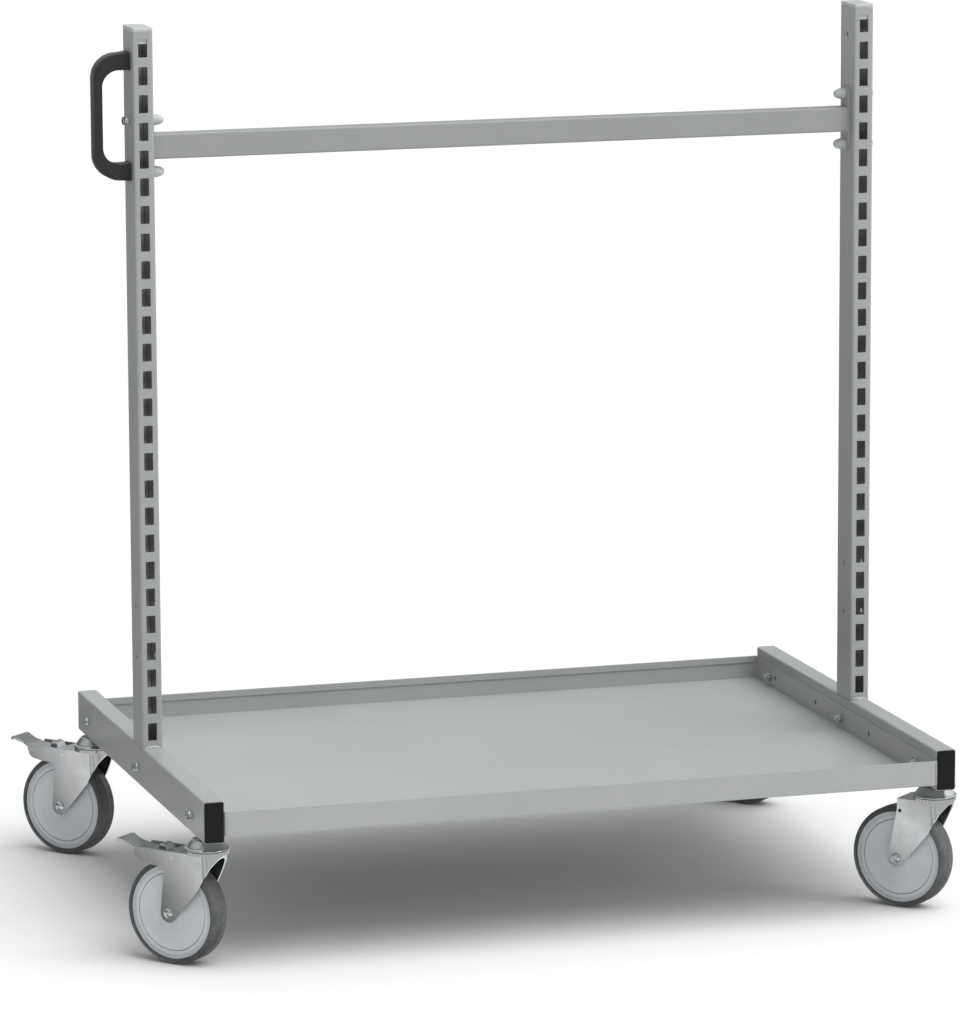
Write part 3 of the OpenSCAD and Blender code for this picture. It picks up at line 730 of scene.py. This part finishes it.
def axle_nut():
    """Locking nut on the far leg, with a round collar that holds its nylon ring."""
    leg, height, flats = 19.5, 6.8, 13.0
    hexa = hexagon(flats)
    return spin([
        (4.05, -leg), (6.2, -leg), (hexagon(flats, 7.0), -leg - 0.3), (hexa, -leg - 0.7),
        (hexa, -leg - 4.4), (hexagon(flats, 6.9), -leg - 4.9), (5.9, -leg - 5.1),
        (5.8, -leg - height + 0.5), (5.3, -leg - height), (4.6, -leg - height), (4.05, -leg - 6.2),
    ], segments=72)


def both_sides(template):
    """A template and its mirror image across Z = 0."""
    flip = Matrix.Scale(-1, 4, (0, 0, 1))
    return placed(template, [Matrix.Identity(4), flip])


def add_wheel(corner):
    place = [about_axle(corner)]
    parts = {
        "tyre_": tyre(), "rim_": rim(), "thread_guards_": both_sides(thread_guard()),
        "axle_": axle_bolt(corner in BRAKED), "axle_nut_": axle_nut(),
    }
    for prefix, template in parts.items():
        shown(placed(template, place), prefix + corner)


def add_fork(corner):
    """The fork, with a larger bend where its sides turn over into the deck."""
    node, bend, edge, half_width = "fork_" + corner, 2.2, 0.5, 19.5
    deck_top = 137.0
    across = Vector(JOINTS["wheel_spin_" + corner]["axis"])
    swivel = Vector(JOINTS["swivel_" + corner]["pos_m"])

    def on_bend(e):
        level = all(abs(v.co.z / MM - deck_top) < 0.1 for v in e.verts)
        return level and all(abs((v.co - swivel).dot(across)) / MM > half_width - 0.2 for v in e.verts)

    bm = mesh_of(node)
    bevel(bm, [e for e in bm.edges if on_bend(e)], bend, 5)
    bevel(bm, [e for e in bm.edges if is_hard(e)], edge, 2)
    shown(bm, node, weighted=True)


def add_brake(corner):
    """The pedal and the shoe under it."""
    refined("pedal_" + corner, 0.8, 3)
    refined("brake_shoe_" + corner, 0.5)


def add_stem_nuts():
    """The nuts that hold the king pins inside the rails."""
    low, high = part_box("stem_nuts")
    nut = hex_nut((high.z - low.z) / MM, across_flats=17, bore=5.05)
    lift = Matrix.Translation((0, 0, low.z))
    shown(placed(nut, [about_swivel(c) @ lift for c in CORNERS]), "stem_nuts")


add_swivel_heads()
add_stem_nuts()
for corner in CORNERS:
    add_wheel(corner)
    add_fork(corner)
for corner in BRAKED:
    add_brake(corner)


# ---- Camera, light and floor ----

def add_camera():
    """The photograph's viewing angle: from the handle side, slightly above."""
    yaw, pitch, roll = math.radians(16.59), math.radians(10.30), math.radians(-0.26)
    distance = 7.275
    slide_right, slide_up = 0.0303, 0.1876
    target = Vector((0, 0, 0.6567))
    level = Vector((math.sin(yaw), math.cos(yaw), 0))
    forward = level * math.cos(pitch) - Vector((0, 0, math.sin(pitch)))
    right = Vector((math.cos(yaw), -math.sin(yaw), 0))
    turn = Matrix.Rotation(roll, 3, -forward)
    right = turn @ right
    up = right.cross(forward)
    data = bpy.data.cameras.new("camera")
    data.sensor_width = 36
    data.lens = 210.9
    data.clip_end = 60
    camera = bpy.data.objects.new("camera", data)
    scene.collection.objects.link(camera)
    place = target - forward * distance - right * slide_right - up * slide_up
    facing = Matrix((right, up, -forward)).transposed()
    camera.matrix_world = Matrix.Translation(place) @ facing.to_4x4()
    scene.camera = camera


def add_softbox(name, place, aim, size, power):
    """A rectangular area light that faces a point."""
    data = bpy.data.lights.new(name, "AREA")
    data.shape = "RECTANGLE"
    data.size, data.size_y = size
    data.energy = power
    lamp = bpy.data.objects.new(name, data)
    scene.collection.objects.link(lamp)
    lamp.location = place
    lamp.rotation_euler = (Vector(aim) - Vector(place)).to_track_quat("-Z", "Y").to_euler()


def add_sun(direction, strength, spread):
    """A broad, even light from a direction, like a large diffuser, kept out of reflections."""
    data = bpy.data.lights.new("sun", "SUN")
    data.energy = strength
    data.angle = math.radians(spread)
    lamp = bpy.data.objects.new("sun", data)
    scene.collection.objects.link(lamp)
    lamp.rotation_euler = (-Vector(direction)).to_track_quat("-Z", "Y").to_euler()
    lamp.visible_glossy = False


def calculated(tree, operation, value, *others):
    """The result of a math node fed by a value and by numbers or other results."""
    node = tree.nodes.new("ShaderNodeMath")
    node.operation = operation
    tree.links.new(value, node.inputs[0])
    for socket, other in zip(node.inputs[1:], others):
        if isinstance(other, (int, float)):
            socket.default_value = other
        else:
            tree.links.new(other, socket)
    return node.outputs["Value"]


def bands(tree, place, spacing, crest, low, high):
    """Soft bands across an axis, between two levels, with one of their crests at a place."""
    turn = 2 * math.pi / spacing
    wave = calculated(tree, "COSINE", calculated(tree, "MULTIPLY_ADD", place, turn, -turn * crest))
    return calculated(tree, "MULTIPLY_ADD", wave, (high - low) / 2, (high + low) / 2)


def axes(tree, vector):
    """A vector's X, Y and Z, by name."""
    split = tree.nodes.new("ShaderNodeSeparateXYZ")
    tree.links.new(vector, split.inputs["Vector"])
    return split.outputs


def add_surroundings():
    """A grey studio round the trolley: lighter above and to the right, with soft tall panels."""
    world = bpy.data.worlds.new("studio")
    scene.world = world
    world.use_nodes = True
    tree = world.node_tree
    direction = axes(tree, tree.nodes.new("ShaderNodeTexCoord").outputs["Generated"])
    x, z = direction["X"], direction["Z"]
    horizon, overhead, rightward, least = 0.34, 0.62, 0.34, 0.10
    level = calculated(tree, "MULTIPLY_ADD", z, overhead, horizon)
    level = calculated(tree, "MULTIPLY_ADD", x, rightward, level)
    level = calculated(tree, "MAXIMUM", level, least)
    strength = calculated(tree, "MULTIPLY", level, bands(tree, x, 0.8, 0.0, 0.5, 1.5))
    tree.links.new(strength, tree.nodes["Background"].inputs["Strength"])
    tree.nodes["Background"].inputs["Color"].default_value = (0.97, 0.985, 1.0, 1)


def add_painted_floor_reflection():
    """A glowing card just over the floor that only shiny parts see: a painted reflection of the pale floor, with
    soft painted dark bands and painted shade behind the trolley.
    """
    material = bpy.data.materials.new("painted_floor_reflection")
    material.use_nodes = True
    tree = material.node_tree
    glow = tree.nodes.new("ShaderNodeEmission")
    y = axes(tree, tree.nodes.new("ShaderNodeNewGeometry").outputs["Position"])["Y"]
    # The glow dims behind the trolley: painted shade in what shiny parts reflect.
    dims_from, dims_to, darkest = 0.35, 0.60, 0.3
    slope = (darkest - 1) / (dims_to - dims_from)
    behind = calculated(tree, "MULTIPLY_ADD", y, slope, 1 - slope * dims_from)
    behind = calculated(tree, "MAXIMUM", calculated(tree, "MINIMUM", behind, 1.0), darkest)
    # Soft dark bands across the glow: painted reflection streaks.
    level = calculated(tree, "MULTIPLY", behind, bands(tree, y, 0.2, -0.395, 0.2, 1.3))
    tree.links.new(level, glow.inputs["Strength"])
    tree.links.new(glow.outputs["Emission"], tree.nodes["Material Output"].inputs["Surface"])
    bm = bmesh.new()
    bmesh.ops.create_circle(bm, cap_ends=True, segments=64, radius=12)
    mesh = bpy.data.meshes.new("painted_floor_reflection")
    bm.to_mesh(mesh)
    bm.free()
    mesh.materials.append(material)
    # The card lights no surface and shows only in reflections: painted reflection and painted shade.
    card = bpy.data.objects.new("painted_floor_reflection", mesh)
    card.location.z = 0.0004
    card.visible_camera = False
    card.visible_diffuse = False
    card.visible_shadow = False
    card.visible_transmission = False
    scene.collection.objects.link(card)


def add_studio():
    """The pale floor, a glowing card of painted floor reflection and painted shade that only shiny parts see, the
    surroundings and the lights.
    """
    s = Shader("floor", Specular_IOR_Level=0.0)
    s.colour(s.ramp(s.noise(0.7, 2), [(0.3, (0.69, 0.69, 0.69)), (0.7, (0.71, 0.71, 0.71))]))
    s.roughness(s.ramp(s.noise(3, 3), [(0.3, 0.30), (0.7, 0.36)]))
    bm = bmesh.new()
    bmesh.ops.create_grid(bm, x_segments=1, y_segments=1, size=30)
    mesh = bpy.data.meshes.new("floor")
    bm.to_mesh(mesh)
    bm.free()
    mesh.materials.append(s.material)
    floor = bpy.data.objects.new("floor", mesh)
    scene.collection.objects.link(floor)
    # Painted floor reflection and painted shade, seen only by shiny parts.
    add_painted_floor_reflection()
    add_surroundings()
    add_sun((0.34, -0.40, 1.0), 2.5, 55)
    add_softbox("left_strip", (-2.6, -2.6, 1.6), (0, 0, 0.4), (0.35, 2.2), 4)
    add_softbox("right_strip", (2.8, -2.4, 1.8), (0, 0, 0.4), (0.35, 2.2), 12)
    scene.view_settings.view_transform = "Standard"


add_camera()
add_studio()
